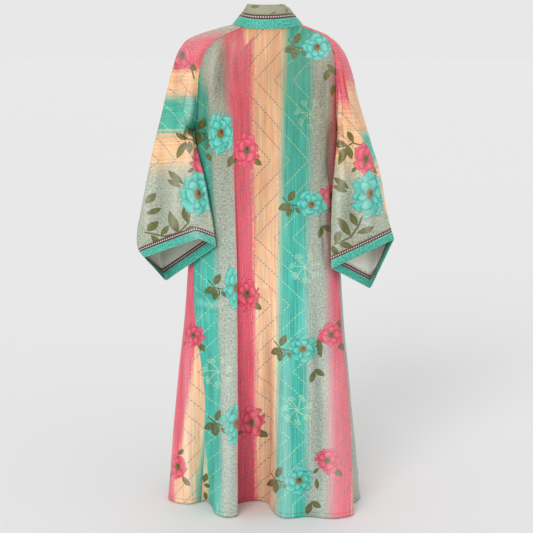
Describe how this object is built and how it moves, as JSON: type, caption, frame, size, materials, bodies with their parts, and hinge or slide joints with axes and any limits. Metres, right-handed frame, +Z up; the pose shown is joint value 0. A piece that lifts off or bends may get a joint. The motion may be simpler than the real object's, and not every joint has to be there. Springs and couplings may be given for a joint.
{
  "type": "long kimono robe",
  "caption": "Long open-front kimono robe with raglan sleeves, flared cuffs and a banded collar running down both fronts, filled out as worn.",
  "frame": {"origin": "base of the neck, midway between the shoulders that carry the robe", "axes": "+Z up, the robe's back faces -Y and its open front +Y, +X is the wearer's right"},
  "size_m": [0.667, 0.307, 1.3314],
  "materials": {
    "print_cloth": "printed light crepe in pink, cream, teal and grey-green, matt with a faint sheen",
    "border_cloth": "mottled teal woven border",
    "trim_cloth": "dark maroon with a pale zigzag",
    "band_cloth": "grey-green with olive leaves"
  },
  "bodies": {
    "root": {"back_panel": "print_cloth", "left_front": "print_cloth", "right_front": "print_cloth", "left_sleeve_back": "print_cloth", "left_sleeve_front": "print_cloth", "right_sleeve_back": "print_cloth", "right_sleeve_front": "print_cloth", "left_cuff_trim": "trim_cloth", "left_cuff_border": "border_cloth", "right_cuff_trim": "trim_cloth", "right_cuff_border": "border_cloth", "collar_border": "border_cloth", "collar_trim": "trim_cloth", "collar_band": "band_cloth"}
  },
  "joints": []
}
